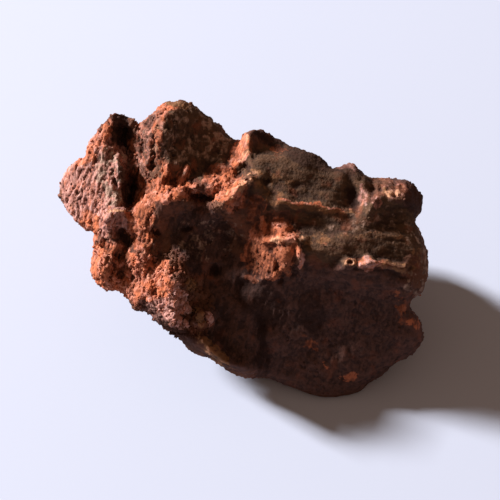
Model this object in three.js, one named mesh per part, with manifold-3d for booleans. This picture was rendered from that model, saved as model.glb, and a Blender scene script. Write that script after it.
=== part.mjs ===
// Uranophane specimen: one rough lump of iron-stained rock, about 92 mm long.
// Millimetres, +Z up. The origin is under the middle of the lump, on the surface that it rests on.
//
// The lump is described on its show face, which leans back: u runs to the right, v up the face, w out of it.
// The show face is a patchwork of flat facets with mounds, hollows and crests on them, inside a rugged rim.
// Behind the rim the body bulges out to the underside, where flat fractures with steps cut it back.
// A horizontal cut leaves the flat patch that the lump rests on.
import * as THREE from "three";
import { ImprovedNoise } from "three/addons/math/ImprovedNoise.js";
import { mergeVertices } from "three/addons/utils/BufferGeometryUtils.js";
import Module from "manifold-3d";

const wasm = await Module();
wasm.setup();

// Body
const showFaceLean = 55; // degrees between the show face's normal and the horizontal
const rimDrop = { foot: 4, top: 1.5 }; // from the show face's edge down to the rim
const rimDropBand = { foot: -26, top: -10 }; // the v between which the one gives way to the other
const rimBlend = { front: 0.24, back: 0.6 }; // how far in from the rim its drop is felt, 1 being the middle
const backBulge = 25; // from the rim down to the bottom of the body, along w
const backLean = -0.2; // how the middle of the underside leans, per mm up the face
const backFullness = 0.72; // 1 is an ellipsoid, less is squarer
const frontSteepness = 1.35; // how steeply the sides drop to the rim
const backSteepness = 2.1; // and on down from it
const restDepth = 22.5; // from the body's middle down to the flat that it rests on

// Surface
const facetEdge = 2.5; // how sharply one facet gives way to the next
const crestRound = 1.5; // how blunt a crest's edge is
const warp = { reach: 1.5, scale: 8 }; // what keeps the edges of facets and crests from running true
const rough = { rise: 1.1, scale: [9, 6, 6] }; // longer to the right than up
const terrace = { rise: 1.8, scale: [17, 17, 12] }; // the steps on a fracture
const fractureCut = 0.9; // share of what stands out of a fracture that is taken off
const fractureFrom = [0.02, 0.3]; // where behind the rim the fractures set in, 1 being the middle of the back
const plainFrom = [0.02, 0.45]; // and where the rim's peaks and notches die away

// Mesh
const meshDetail = 21; // subdivisions of the starting icosahedron
const frontShare = 0.7; // below 1, the triangles crowd towards the show face
const frontWeight = 1.2; // and stay there while they even out
const eveningRounds = 40;
const eveningHold = 0.3; // share of its old place that a point keeps in each round
const weatherRounds = 5;
const weatherSteps = [0.5, -0.42]; // in, then out again
const rimKept = 0.15; // up to here from the rim the weathering is held back, 1 being the middle

// The rim seen square on to the show face, anticlockwise from the right-hand end.
const rimPoints = [
  [46, -2.8], [45.2, 1], [43.8, 4.2], [43.3, 7], [41.8, 9.2], [44, 11], [45, 13.9], [43.3, 16.6],
  [40.3, 18.3], [37.3, 19.2], [34.3, 18.6], [30.8, 19.3], [28.5, 21.6], [26.5, 23.6], [23.8, 21.6],
  [21.3, 21], [19.2, 24.2], [14.3, 26.2], [9, 28.4], [3, 31.1], [1, 30.4], [-1.8, 27.6], [-4.2, 28.9],
  [-6.3, 32.8],
  [-10, 35], [-14, 38.2], [-17.8, 37.9], [-22, 36], [-24.5, 33.2], [-27.3, 32], [-30.5, 34.8], [-34, 34.8],
  [-36.9, 30.8], [-39.6, 26.4], [-42.6, 23.4], [-45, 20.4], [-45.8, 16], [-44.1, 11.6], [-41.1, 7.6],
  [-37, 3.2], [-38.8, -1], [-37.2, -6.2], [-34.5, -9], [-30.3, -9.4], [-28.3, -11.9], [-24.3, -15],
  [-20, -17.2], [-16.3, -21.6], [-13.3, -24.6], [-8.5, -25.4], [-4.3, -28.6], [1.8, -30.5], [8, -31.8],
  [14.3, -34.4], [19.8, -37.3], [25, -37.6], [29.8, -34], [34.8, -29.6], [40, -24.8], [45, -22.6],
  [44.2, -18], [42.2, -13], [43.6, -8.2],
];

// The flat faces that the show face is broken into: middle, half-lengths, turn in degrees,
// height along w in the middle, and the rise per mm to the right and up the face.
const facets = [
  { name: "left lobe", at: [-38, 18], size: [8, 13], turn: 0, level: 6, slope: [0.35, -0.05] },
  { name: "lobe groove", at: [-27.8, 15.6], size: [1.9, 4.4], turn: -4, level: 0.5, slope: [0, 0] },
  { name: "lobe saddle", at: [-28.8, 22.3], size: [2.6, 1.6], turn: 0, level: 6.5, slope: [0.1, 0] },
  { name: "upper lobe groove", at: [-28.9, 28.8], size: [2.6, 4.4], turn: 12, level: -1, slope: [-0.1, 0] },
  { name: "dome flank", at: [-24.3, 28], size: [2.8, 9], turn: 0, level: 7.5, slope: [0.6, 0] },
  { name: "dome face", at: [-10.5, 27.5], size: [8.5, 7.5], turn: 0, level: 8.2, slope: [-0.34, -0.1] },
  { name: "basin's outer flank", at: [-25, 8], size: [2.8, 5.5], turn: 0, level: 9, slope: [0.6, -0.2] },
  { name: "hollow under the lip", at: [-29.6, 5.4], size: [2, 2.1], turn: 0, level: 2, slope: [0, 0] },
  { name: "dome foot", at: [-13.5, 16.5], size: [8, 3.2], turn: 12, level: 11.8, slope: [0.15, -0.5] },
  { name: "basin", at: [-11, 1.5], size: [9, 8], turn: 0, level: 8.6, slope: [-0.22, 0.03] },
  { name: "basin's right end", at: [-0.5, -2], size: [3.5, 8], turn: -8, level: 8, slope: [0, 0] },
  { name: "step", at: [-5, 13.8], size: [2.8, 3.4], turn: 30, level: 12.6, slope: [0.5, -0.35] },
  { name: "red hollow", at: [1.3, 9], size: [3.6, 5.5], turn: 0, level: 12, slope: [-0.08, 0.12] },
  { name: "upper mass flank", at: [-1, 23.5], size: [1.8, 5], turn: 0, level: 9.8, slope: [0.5, 0] },
  { name: "upper mass", at: [14, 19], size: [11, 6.5], turn: -10, level: 12.2, slope: [-0.12, -0.12] },
  { name: "crown", at: [5, 28.5], size: [6, 2.6], turn: -15, level: 10.5, slope: [-0.15, 0.3] },
  { name: "shoulder", at: [33, 12], size: [8, 6], turn: 0, level: 10, slope: [-0.1, -0.15] },
  { name: "upper shelf", at: [22, 7], size: [14, 3], turn: 0, level: 12.2, slope: [-0.05, 0] },
  { name: "lower shelf", at: [28, -1.5], size: [14, 4], turn: 0, level: 13, slope: [-0.12, 0] },
  { name: "ochre flank", at: [9.5, -0.3], size: [4.5, 4.8], turn: 0, level: 11.8, slope: [0.5, -0.15] },
  { name: "lower face", at: [24, -22], size: [18, 13], turn: 0, level: 5.6, slope: [0.06, 0.44] },
  { name: "foot", at: [-6, -19], size: [10, 9], turn: 0, level: 8.2, slope: [-0.02, 0.02] },
  { name: "beside the cleft", at: [0.5, -13], size: [3, 5], turn: 0, level: 9.2, slope: [0.1, 0.1] },
  { name: "granular flank", at: [-21.5, -8], size: [6.5, 6.5], turn: 0, level: 10.2, slope: [0.38, -0.22] },
  { name: "under the basin wall", at: [-24.5, -2.8], size: [3, 2.8], turn: 0, level: 11, slope: [0.4, -0.1] },
  { name: "knob foot", at: [-26.5, -8.5], size: [3, 3.8], turn: 0, level: 9.8, slope: [0.45, -0.25] },
];

// Rounded lumps and hollows on the facets. rise is negative in a hollow.
const mounds = [
  { name: "knob", at: [-34, -4.5], size: [3.6, 5.4], turn: 0, rise: 2.2 },
  { name: "end knob", at: [39, 14.5], size: [6, 4.5], turn: 0, rise: 1.5 },
  { name: "slot", at: [-10.8, 13.3], size: [3.5, 2], turn: 0, rise: -2.5 },
  { name: "peak groove", at: [27, 14.5], size: [2.6, 4], turn: -10, rise: -2 },
];

// Crests run up the face or to the right.
// left and right are the widths of the flanks on either side of that way.
const crests = [
  {
    name: "top dome", rise: 2.5, left: 5, right: 7,
    path: [[-21.8, 23.3], [-21, 27.3], [-20.5, 32.3], [-18.8, 36.3]],
  },
  {
    name: "basin wall", rise: 2.5, left: 5, right: 4,
    path: [[-24.8, 1.5], [-23.3, 7.3], [-20.4, 11], [-16.8, 12.3], [-12.8, 13], [-8, 13.8]],
  },
  {
    name: "step", rise: 1.5, left: 4, right: 4,
    path: [[-8.5, 8.8], [-5.5, 10.2], [-3, 13.5], [-0.5, 16.8], [3.5, 18.8]],
  },
  {
    name: "granular crest", rise: 2.5, left: 7, right: 5,
    path: [[-17, -16.5], [-16.3, -12.8], [-16, -7.8], [-15.5, -3.3]],
  },
  {
    name: "top ledge", rise: 1.5, left: 3.5, right: 4.5,
    path: [[0.5, 23], [3.8, 24.5], [9.3, 24.3], [14.3, 23.5]],
  },
  {
    name: "second ledge", rise: 2, left: 5, right: 6,
    path: [[4.8, 11.5], [11.8, 11.3], [19.3, 10.8], [23.8, 9.5], [27.3, 8.8]],
  },
  {
    name: "third ledge", rise: 3, left: 5, right: 6,
    path: [[6.3, 2.3], [14.3, 3.3], [21.8, 2.3], [29.3, 3.3], [38, 3.8], [43.8, 3.3]],
  },
  {
    name: "fourth ledge", rise: 3, left: 3, right: 6,
    path: [[24.8, -2.5], [27.3, -3.3], [30.5, -2.5], [36.8, -3.8], [43, -4.8]],
  },
  { name: "small peak", rise: 3, left: 3.5, right: 4, path: [[27.3, 14.8], [26.8, 18.5], [26.5, 21.8]] },
  { name: "spur", rise: 2.5, left: 3, right: 4, path: [[29.8, 10.3], [30.8, 13.5], [31.3, 16.8]] },
  {
    name: "end knob", rise: 2.5, left: 4, right: 6,
    path: [[32.5, 11.5], [34.8, 13.5], [37.3, 14.5], [39.8, 15]],
  },
  { name: "lobe lip", rise: 5, left: 3, right: 3, path: [[-34, 9.5], [-31.3, 10.3], [-26.5, 9.8]] },
  {
    name: "foot lip", rise: 3, left: 3, right: 4,
    path: [[-10.5, -21.5], [-8.3, -23.5], [-5.3, -26], [-0.8, -28.7]],
  },
  {
    name: "cleft", rise: -1.6, left: 2.5, right: 3.5,
    path: [[0, -8.5], [2.3, -11.5], [3.5, -15.3], [3.8, -19], [5, -22.8], [5.8, -27.3], [6, -31.8]],
  },
];

// Flat faces where the back of the lump broke: which way each faces, with +Z up, and how deep it cuts.
const fractures = [
  { facing: [-0.35, 0.9, 0.2], depth: 8 },
  { facing: [0.4, 0.85, 0.35], depth: 8 },
  { facing: [0.05, 0.8, -0.6], depth: 9 },
  { facing: [0.85, 0.5, 0], depth: 8 },
  { facing: [-0.8, 0.55, 0.2], depth: 7 },
  { facing: [-0.9, 0.1, -0.4], depth: 6 },
  { facing: [-0.5, -0.45, -0.75], depth: 6 },
  { facing: [0.8, -0.2, -0.6], depth: 7 },
  { facing: [0.1, -0.8, -0.6], depth: 4 },
];

const noise = new ImprovedNoise();

// Noise in several octaves, each half as large and half as strong.
function fractal(x, y, z, octaves) {
  let sum = 0;
  let strength = 1;
  let scale = 1;
  for (let i = 0; i < octaves; i++) {
    sum += strength * noise.noise(x * scale, y * scale, z * scale + 17 * i);
    strength /= 2;
    scale *= 2;
  }
  return sum;
}

// Distance from the middle to the rim, at each half degree round it.
const rimSteps = 720;
const ruggedRim = (() => {
  const curve = new THREE.CatmullRomCurve3(rimPoints.map(([u, v]) => new THREE.Vector3(u, v, 0)), true);
  const radius = new Array(rimSteps).fill(0);
  for (const p of curve.getSpacedPoints(4 * rimSteps)) {
    const step = Math.round((Math.atan2(p.y, p.x) / (2 * Math.PI) + 0.5) * rimSteps) % rimSteps;
    radius[step] = Math.max(radius[step], Math.hypot(p.x, p.y));
  }
  for (let i = 0; i < rimSteps; i++) radius[i] ||= radius[(i + rimSteps - 1) % rimSteps];
  return radius;
})();

// The same without its peaks and notches, for the back. It nowhere goes outside the rugged rim.
const plainRim = (() => {
  const reach = 14;
  const span = Array.from({ length: 2 * reach + 1 }, (_, k) => k - reach);
  const near = (radius, i) => span.map((k) => radius[(i + k + rimSteps) % rimSteps]);
  const lowest = ruggedRim.map((_, i) => Math.min(...near(ruggedRim, i)));
  return lowest.map((_, i) => near(lowest, i).reduce((sum, r) => sum + r, 0) / span.length);
})();

function rimRadius(rim, angle) {
  const t = (angle / (2 * Math.PI) + 0.5) * rimSteps;
  const i = Math.floor(t);
  return THREE.MathUtils.lerp(rim[i % rimSteps], rim[(i + 1) % rimSteps], t - i);
}

// How far a point is from a place's middle, squared, as a share of its half-lengths.
function spread({ at, size, turn }, u, v) {
  const angle = THREE.MathUtils.degToRad(turn);
  const du = u - at[0];
  const dv = v - at[1];
  const along = (du * Math.cos(angle) + dv * Math.sin(angle)) / size[0];
  const across = (-du * Math.sin(angle) + dv * Math.cos(angle)) / size[1];
  return along * along + across * across;
}

// The facets blend into each other along their edges.
function facetHeight(u, v) {
  let sum = 0;
  let total = 0;
  for (const { at, level, slope, ...rest } of facets) {
    const weight = Math.exp(-facetEdge * spread({ at, ...rest }, u, v));
    sum += weight * (level + slope[0] * (u - at[0]) + slope[1] * (v - at[1]));
    total += weight;
  }
  return sum / total;
}

// Distance to a path, positive on the left of its way.
function sideOf(path, u, v) {
  let nearest = Infinity;
  let side = 1;
  for (let i = 1; i < path.length; i++) {
    const [au, av] = path[i - 1];
    const [bu, bv] = path[i];
    const lu = bu - au;
    const lv = bv - av;
    const t = THREE.MathUtils.clamp(((u - au) * lu + (v - av) * lv) / (lu * lu + lv * lv), 0, 1);
    const du = u - au - t * lu;
    const dv = v - av - t * lv;
    const distance = Math.hypot(du, dv);
    if (distance < nearest) {
      nearest = distance;
      side = lu * dv - lv * du >= 0 ? 1 : -1;
    }
  }
  return side * nearest;
}

function crestHeight({ rise, left, right, path }, u, v) {
  const s = sideOf(path, u, v);
  const t = (Math.hypot(s, crestRound) - crestRound) / (s > 0 ? left : right);
  return t < 1 ? rise * (1 - t) ** 1.5 : 0;
}

// Height of the show face along w.
function relief(u, v) {
  const du = u + warp.reach * fractal(u / warp.scale, v / warp.scale, 3, 1);
  const dv = v + warp.reach * fractal(u / warp.scale, v / warp.scale, 8, 1);
  let height = facetHeight(du, dv);
  for (const mound of mounds) height += mound.rise * Math.exp(-(spread(mound, du, dv) ** 1.5));
  for (const crest of crests) height += crestHeight(crest, du, dv);
  return height;
}

// The point of the body's surface in a direction.
// The front half of the directions is the show face, the back half the underside.
function place(d) {
  const isFront = d.z > 0;
  const height = Math.abs(d.z);
  const angle = Math.atan2(d.y, d.x);
  const fromRim = 1 - Math.acos(height) / (Math.PI / 2);
  const out = 1 - fromRim ** (isFront ? frontSteepness : backSteepness);
  const behind = isFront ? 0 : THREE.MathUtils.smoothstep(height, ...plainFrom);
  const rim = THREE.MathUtils.lerp(rimRadius(ruggedRim, angle), rimRadius(plainRim, angle), behind);
  const u = rim * out * Math.cos(angle);
  const v = rim * out * Math.sin(angle);
  const upward = THREE.MathUtils.smoothstep(v, rimDropBand.foot, rimDropBand.top);
  const drop = THREE.MathUtils.lerp(rimDrop.foot, rimDrop.top, upward);
  const edge = facetHeight(u, v) - drop;
  const inward = THREE.MathUtils.smoothstep(height, 0, isFront ? rimBlend.front : rimBlend.back);
  const front = THREE.MathUtils.lerp(edge, relief(u, v), inward);
  const back = THREE.MathUtils.lerp(edge, backLean * v, inward);
  const w = isFront ? front : back - backBulge * height ** backFullness;
  const bump = rough.rise * fractal(u / rough.scale[0], v / rough.scale[1], w / rough.scale[2], 2);
  return new THREE.Vector3(u, v, w).addScaledVector(d, bump);
}

// The steps left on a fracture, as heights.
function terraces(p) {
  const [x, y, z] = terrace.scale;
  const level = 2.2 * fractal(p.x / x, p.y / y, p.z / z, 2);
  const step = Math.floor(level);
  return terrace.rise * (step + THREE.MathUtils.smoothstep(level - step, 0.3, 0.7));
}

// Cuts the back down to each fracture and leaves the show face alone.
function fracture(points, directions) {
  for (const { facing, depth } of fractures) {
    const n = new THREE.Vector3(...facing).normalize();
    const reach = Math.max(...points.map((p) => p.dot(n))) - depth;
    points.forEach((p, i) => {
      const behind = THREE.MathUtils.smoothstep(-directions[i].z, ...fractureFrom);
      const excess = Math.max(p.dot(n) - reach - terraces(p), 0);
      p.addScaledVector(n, -fractureCut * behind * excess);
    });
  }
}

// The vertices that share an edge with each vertex.
function neighboursOf(index, count) {
  const neighbours = Array.from({ length: count }, () => new Set());
  for (let i = 0; i < index.length; i += 3) {
    for (let k = 0; k < 3; k++) {
      neighbours[index[i + k]].add(index[i + ((k + 1) % 3)]);
      neighbours[index[i + k]].add(index[i + ((k + 2) % 3)]);
    }
  }
  return neighbours;
}

// Takes the teeth off the edges. Each round draws every point in towards its neighbours, then most of the way
// back out, and the rim keeps its shape.
function weather(points, directions, neighbours) {
  for (let round = 0; round < weatherRounds; round++) {
    for (const step of weatherSteps) {
      const old = points.map((p) => p.clone());
      points.forEach((p, i) => {
        const middle = new THREE.Vector3();
        for (const j of neighbours[i]) middle.addScaledVector(old[j], 1 / neighbours[i].size);
        p.lerp(middle, step * THREE.MathUtils.smoothstep(Math.abs(directions[i].z), 0, rimKept));
      });
    }
  }
}

// The directions drift towards their farther neighbours until the triangles are about as large as each other.
function evenOut(directions, neighbours) {
  for (let round = 0; round < eveningRounds; round++) {
    const placed = directions.map(place);
    directions = directions.map((d, i) => {
      const pull = new THREE.Vector3();
      for (const j of neighbours[i]) {
        const length = placed[i].distanceTo(placed[j]) * (directions[j].z > 0 ? frontWeight : 1);
        pull.addScaledVector(directions[j], length);
      }
      return pull.normalize().lerp(d, eveningHold).normalize();
    });
  }
  return directions;
}

// Shifts a direction towards the show face.
function frontward(d) {
  const lift = (1 - frontShare * frontShare) / (1 + frontShare * frontShare);
  const z = (d.z + lift) / (1 + lift * d.z);
  const flat = Math.sqrt((1 - z * z) / Math.max(1 - d.z * d.z, 1e-9));
  return new THREE.Vector3(d.x * flat, d.y * flat, z).normalize();
}

// From the show face's axes to the specimen's.
function leanBack(p) {
  const lean = THREE.MathUtils.degToRad(showFaceLean);
  const y = p.y * Math.sin(lean) - p.z * Math.cos(lean);
  const z = p.y * Math.cos(lean) + p.z * Math.sin(lean);
  return new THREE.Vector3(p.x, y, z);
}

// A closed mesh as a manifold-3d solid.
function solidOf(geometry) {
  return new wasm.Manifold(
    new wasm.Mesh({
      numProp: 3,
      vertProperties: new Float32Array(geometry.getAttribute("position").array),
      triVerts: new Uint32Array(geometry.index.array),
    }),
  );
}

// One of three's own shapes with each corner once.
function welded(geometry) {
  geometry.deleteAttribute("normal");
  geometry.deleteAttribute("uv");
  return mergeVertices(geometry, 1e-5);
}

// Cuts the body off level and stands it on the cut, in the middle.
function rest(geometry) {
  const side = 200;
  const above = welded(new THREE.BoxGeometry(side, side, side).translate(0, 0, side / 2 - restDepth));
  const cut = solidOf(geometry).intersect(solidOf(above)).getMesh();
  const rested = new THREE.BufferGeometry();
  rested.setAttribute("position", new THREE.BufferAttribute(cut.vertProperties, 3));
  rested.setIndex(new THREE.BufferAttribute(cut.triVerts, 1));
  rested.computeBoundingBox();
  const { min, max } = rested.boundingBox;
  rested.translate(-(min.x + max.x) / 2, -(min.y + max.y) / 2, restDepth);
  rested.computeVertexNormals();
  return rested;
}

function makeRock() {
  const geometry = welded(new THREE.IcosahedronGeometry(1, meshDetail));
  const position = geometry.getAttribute("position");
  const neighbours = neighboursOf(geometry.index.array, position.count);
  let directions = [];
  for (let i = 0; i < position.count; i++) {
    directions.push(frontward(new THREE.Vector3().fromBufferAttribute(position, i)));
  }
  directions = evenOut(directions, neighbours);
  const points = directions.map((d) => leanBack(place(d)));
  fracture(points, directions);
  weather(points, directions, neighbours);
  points.forEach((p, i) => position.setXYZ(i, p.x, p.y, p.z));
  return rest(geometry);
}

const rockFinish = new THREE.MeshStandardMaterial({ color: 0x7a4a38, roughness: 0.92, metalness: 0 });
const rock = new THREE.Mesh(makeRock(), rockFinish);
rock.name = "rock";

const specimen = new THREE.Group();
specimen.add(rock);
export default specimen;
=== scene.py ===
import math

import bmesh
import bpy
import numpy as np
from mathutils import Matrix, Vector, noise


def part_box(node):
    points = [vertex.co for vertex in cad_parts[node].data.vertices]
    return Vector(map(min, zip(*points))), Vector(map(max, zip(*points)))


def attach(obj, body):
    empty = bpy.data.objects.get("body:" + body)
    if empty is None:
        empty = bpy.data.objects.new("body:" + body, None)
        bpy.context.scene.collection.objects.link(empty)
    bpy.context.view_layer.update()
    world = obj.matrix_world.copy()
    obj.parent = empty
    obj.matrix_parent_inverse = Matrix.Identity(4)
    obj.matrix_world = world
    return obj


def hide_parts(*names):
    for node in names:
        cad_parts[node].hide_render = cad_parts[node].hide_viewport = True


mm = 0.001

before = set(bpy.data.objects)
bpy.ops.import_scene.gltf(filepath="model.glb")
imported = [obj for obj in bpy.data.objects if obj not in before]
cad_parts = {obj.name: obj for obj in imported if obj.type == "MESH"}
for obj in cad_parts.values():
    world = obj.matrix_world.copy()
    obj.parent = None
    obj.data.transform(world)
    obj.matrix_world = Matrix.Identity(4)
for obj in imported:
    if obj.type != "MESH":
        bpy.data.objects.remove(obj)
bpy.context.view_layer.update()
rockLow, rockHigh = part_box("rock")
boxMiddle = (rockLow + rockHigh) / 2

# The show face leans back. On it u runs to the right, v up the face and w out of it, all in mm.
showFace = {
    "lean": 55,  # degrees between the way it faces and the horizontal
    "middle": (-0.1, 2.5, 0),  # u, v and w at the middle of the rock's box
}
lean = math.radians(showFace["lean"])
faceRight = Vector((1, 0, 0))
faceUp = Vector((0, math.sin(lean), math.cos(lean)))
faceOut = Vector((0, -math.cos(lean), math.sin(lean)))
faceAxes = np.array([faceRight, faceUp, faceOut])


def toFace(points):
    return (points / mm - np.array(boxMiddle) / mm) @ faceAxes.T + np.array(showFace["middle"])


def smoothStep(low, high, x):
    t = np.clip((x - low) / (high - low), 0, 1)
    return t * t * (3 - 2 * t)


# How far each point is from a place's middle, squared, as a share of its half-lengths.
def spread(place, u, v):
    turn = math.radians(place.get("turn", 0))
    du, dv = u - place["at"][0], v - place["at"][1]
    along = (du * math.cos(turn) + dv * math.sin(turn)) / place["size"][0]
    across = (dv * math.cos(turn) - du * math.sin(turn)) / place["size"][1]
    return along**2 + across**2


# 1 in the middle of a place, with a round top, and nearly 0 a little past its edge.
def mound(place, u, v):
    return np.exp(-spread(place, u, v) ** 1.5)


# Distance in mm from each point to a path.
def offPath(path, u, v):
    nearest = np.full(len(u), np.inf)
    for (au, av), (bu, bv) in zip(path, path[1:]):
        lu, lv = bu - au, bv - av
        t = np.clip(((u - au) * lu + (v - av) * lv) / (lu * lu + lv * lv), 0, 1)
        nearest = np.minimum(nearest, np.hypot(u - au - t * lu, v - av - t * lv))
    return nearest


# Noise with its size in mm, alone or along each axis. A shift gives another pattern of the same kind.
def noiseField(points, size, octaves, shift=0):
    sx, sy, sz = size if isinstance(size, tuple) else (size,) * 3
    step = Vector((shift, 2 * shift, 3 * shift))
    lower, finer = 1.0, 2.0
    return np.array([
        noise.fractal(Vector((x / sx, y / sy, z / sz)) + step, lower, finer, octaves)
        for x, y, z in points
    ])


# Pushes points about, so that what is laid on them runs crooked.
def bent(points, amount, size, octaves, shifts):
    pushes = [noiseField(points, size, octaves, shift) for shift in shifts]
    return points + amount * np.stack(pushes, axis=1)


# Turns points about the way out of the show face, so that streaks along v lean to the right.
def leaned(face, degrees):
    turn = math.radians(degrees)
    u, v, w = face.T
    across = u * math.cos(turn) - v * math.sin(turn)
    along = u * math.sin(turn) + v * math.cos(turn)
    return np.stack([across, along, w], axis=1)


# Rounded bumps of many sizes with sharp creases between them, about level with 0.
def bumps(points, kind):
    sx, sy, sz = kind["size"]
    octaves, lower, finer, level = 3, 0.55, 2.1, 0.42
    return np.array([
        noise.turbulence(
            Vector((x / sx + kind["shift"], y / sy, z / sz)), octaves, True,
            amplitude_scale=lower, frequency_scale=finer,
        )
        for x, y, z in points
    ]) - level


# Distances to the middles of the nearest grain and of the second nearest, in grains,
# and a number from 0 to 1 that the whole nearest grain shares.
def grainField(points, kind):
    sx, sy, sz = kind["size"]
    apart = 37.0  # takes neighbouring grains to cells of their own
    nearest, second, own = [], [], []
    for x, y, z in points:
        distances, middles = noise.voronoi(Vector((x / sx + kind["shift"], y / sy, z / sz)))
        nearest.append(distances[0])
        second.append(distances[1])
        own.append(0.5 + 0.5 * noise.cell(middles[0] * apart))
    return np.array(nearest), np.array(second), np.array(own)


# Grains with flat tops at uneven heights and gaps between them, about level with 0.
def plates(points, kind):
    nearest, second, own = grainField(points, kind)
    top = np.clip((second - nearest) / kind["gap"], 0, 1) ** 0.7  # less makes the tops flatter
    return top * (kind["lowest"] + (1 - kind["lowest"]) * own) - kind["level"]


def linked(name, data):
    piece = bpy.data.objects.new(name, data)
    bpy.context.scene.collection.objects.link(piece)
    return piece


def modify(piece, kind, **settings):
    modifier = piece.modifiers.new(kind.lower(), kind)
    for name, value in settings.items():
        setattr(modifier, name, value)
    graph = bpy.context.evaluated_depsgraph_get()
    made = bpy.data.meshes.new_from_object(piece.evaluated_get(graph))
    old = piece.data
    piece.modifiers.clear()
    piece.data = made
    bpy.data.meshes.remove(old)


def vectors(items, name):
    values = np.empty(len(items) * 3, np.float32)
    items.foreach_get(name, values)
    return values.reshape(-1, 3).astype(float)


# Every point of a mesh, in metres, and the way the surface faces there.
def surfaceOf(mesh):
    return vectors(mesh.vertices, "co"), vectors(mesh.vertex_normals, "vector")


def setAttribute(mesh, name, values):
    attribute = mesh.attributes.get(name) or mesh.attributes.new(name, "FLOAT", "POINT")
    attribute.data.foreach_set("value", values.astype(np.float32))


skin = {
    "roughVoxel": 0.6,  # mm, while the forms are carved
    "facetSmoothing": 9,  # rounds
    "voxel": 0.27,  # mm, for the crust
    "carveSmoothing": 2,
    "triangles": 196000,
    "swell": 0.15,  # mm, what the smoothing takes off
    "flatKept": (0.3, 2.5),  # mm above the floor, from left alone to fully worked
    "faceEdge": (-0.1, 0.25),  # how squarely a point faces along w, from the back to the show face
    "placeEdge": 1.6,  # 1 would end a place at a hard edge
    "formWander": 0.5,  # mm that the edges of the forms stray
    "patchWander": 1.2,
    "wanderSize": 4.5,  # mm from one stray to the next
    "streakLean": 17,  # degrees
    "ridgeFoot": 1.6,  # widths from a ridge's path to its foot
    "quiet": 0.38,  # share of the crust's relief that the bare faces have
    "quietLumps": 0.4,
    "carvedBack": 0.6,  # share of the crust's larger forms that the back has
    "roughBack": (0.2, 0.9),  # least and most of its finer ones
    "backPatchSize": 14,  # mm
    # how much of each relief the ledges of the right half take away
    "lumpLoss": 0.7,
    "clumpLoss": 0.75,
    "grainLoss": 0.6,
    # height is in mm, and size in mm too: alone, or across the show face, up it and out of it
    "lumps": {"height": 0.9, "size": 6},
    "knots": {"height": 0.9, "size": (2.2, 6, 3.8), "shift": 2},
    "clumps": {
        "height": 0.45, "size": (2.1, 4.2, 3), "gap": 0.45, "lowest": 0.4, "level": 0.4, "shift": 0,
    },
    "ledges": {
        "height": 0.12, "step": 2.3, "shelf": 0.75, "level": 0.4, "tilt": 0.09, "wave": 1.3,
        "size": (9, 4, 4),
    },
    "granules": {
        "height": 0.3, "size": (1.0, 2.1, 1.4), "gap": 0.33, "lowest": 0.3, "level": 0.35, "shift": 0,
    },
    "crumbs": {
        "height": 0.24, "size": (0.62, 0.8, 0.7), "gap": 0.5, "lowest": 0.3, "level": 0.35, "shift": 3,
    },
    "crumbsEverywhere": 0.4,  # the least share of their height that the crumbs have
    "burrs": {"height": 0.65, "size": (0.85, 2.6, 1.5), "shift": 6},
    "lines": {"height": 0.2, "size": (4, 1.3, 1.5)},
    "pits": {"height": 0.6, "size": (3, 4, 3.5), "shift": 5, "rare": 0.6, "edge": (0.1, 0.34)},
    "backColourSize": 8,  # mm
    # the gaps between grains and the broad dips, where painted shade darkens the colours and the grain
    # tops are painted paler
    "gap": {"rounds": 5, "depth": 0.5},  # mm from palest to darkest
    "dip": {"rounds": 60, "depth": 3},
}

# A place is an oval on the show face: its middle, its half-lengths along and across in mm, its turn
# in degrees, and its share where it is weaker than the others.

# Where the surface is a crust of grains: the left lobes, the wall of the basin, the flanks that look left.
crustPlaces = [
    {"at": (-37, 17), "size": (9, 15)},
    {"at": (-33, 29), "size": (5, 7)},
    {"at": (-22.5, 27), "size": (6, 12)},
    {"at": (-25, 5), "size": (3.4, 11)},
    {"at": (-16, 14), "size": (9, 3.5)},
    {"at": (-3, 15), "size": (5, 9), "turn": -30},
    {"at": (-22, -9), "size": (10, 9)},
    {"at": (-33, -4), "size": (6, 7)},
    {"at": (-14, -17), "size": (7, 5)},
    {"at": (8, 0), "size": (6.5, 7.5)},
]

# The right half, whose ledges run across it.
strataPlaces = [
    {"at": (22, 12), "size": (24, 17)},
    {"at": (32, -2), "size": (18, 8)},
]

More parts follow.
